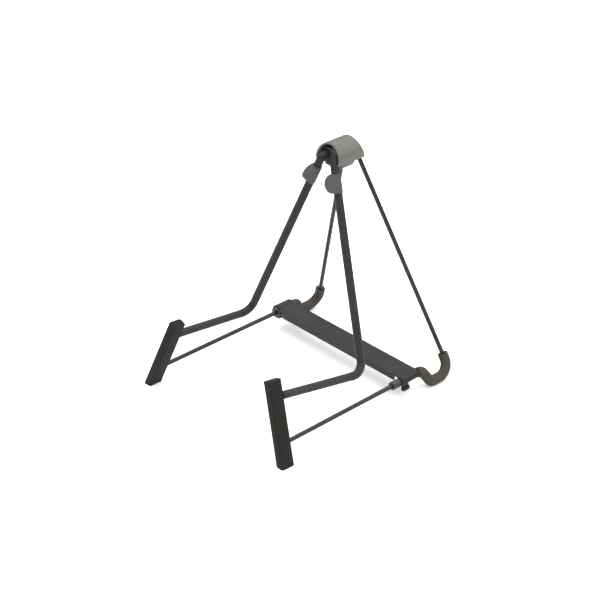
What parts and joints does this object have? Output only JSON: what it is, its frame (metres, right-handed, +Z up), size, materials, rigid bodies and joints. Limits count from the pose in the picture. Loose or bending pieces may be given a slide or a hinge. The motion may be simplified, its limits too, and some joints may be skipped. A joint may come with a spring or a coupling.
{
  "type": "folding guitar stand",
  "caption": "Folding A-frame floor stand for an acoustic guitar, with two bent rod side frames, a capped head hinge, padded front supports and a hooked cross plate.",
  "frame": {"origin": "centre of the outline's base, on the floor, with the stand open", "axes": "+X to the stand's right seen from the front, -Y to its front where the guitar stands, +Z up"},
  "size_m": [0.276, 0.3139, 0.3305],
  "materials": {
    "bumper": "matte dark grey",
    "foot": "matte brownish black",
    "rod": "satin black powder coat",
    "core": "satin black powder coat",
    "leg_sleeve": "smooth matte black",
    "arm_sleeve": "smooth matte brownish black",
    "pad": "matte black",
    "cap": "fine-textured warm grey",
    "plate": "satin dark grey",
    "bearing": "satin black",
    "hinge_block": "matte black",
    "screws": "zinc plated"
  },
  "bodies": {
    "left_frame": {"left_frame_rod": "rod", "left_pad_core": "core", "left_front_pad": "pad", "left_leg_sleeve": "leg_sleeve", "left_arm_sleeve": "arm_sleeve", "left_back_bumper": "bumper", "left_rear_foot": "foot", "pivot_sleeve": "bearing"},
    "head": {"arch_cap": "cap", "hinge_block": "hinge_block", "hinge_keeper": "hinge_block", "keeper_screws": "screws"},
    "right_frame": {"right_frame_rod": "rod", "right_pad_core": "core", "right_front_pad": "pad", "right_leg_sleeve": "leg_sleeve", "right_arm_sleeve": "arm_sleeve", "right_back_bumper": "bumper", "right_rear_foot": "foot", "catch_sleeve": "bearing"},
    "plate": {"cross_plate": "plate", "catch_grip": "pad"}
  },
  "joints": [
    {"name": "left_fold", "type": "hinge", "parent": "left_frame", "child": "head", "pos_m": [-0.0102, 0.0692, 0.312], "axis": [0, 1, 0], "range_deg": [0, 21.2]},
    {"name": "right_fold", "type": "hinge", "parent": "head", "child": "right_frame", "pos_m": [0.0102, 0.0692, 0.312], "axis": [0, 1, 0], "range_deg": [0, 21.2]},
    {"name": "plate_lift", "type": "hinge", "parent": "left_frame", "child": "plate", "pos_m": [-0.12137, 0.078, 0.0254], "axis": [0, -1, 0], "range_deg": [0, 68.8]}
  ],
  "couplings": [
    {"joint": "right_fold", "follows": "left_fold", "ratio": 1},
    {"joint": "plate_lift", "follows": "left_fold", "ratio": 3.2452}
  ]
}
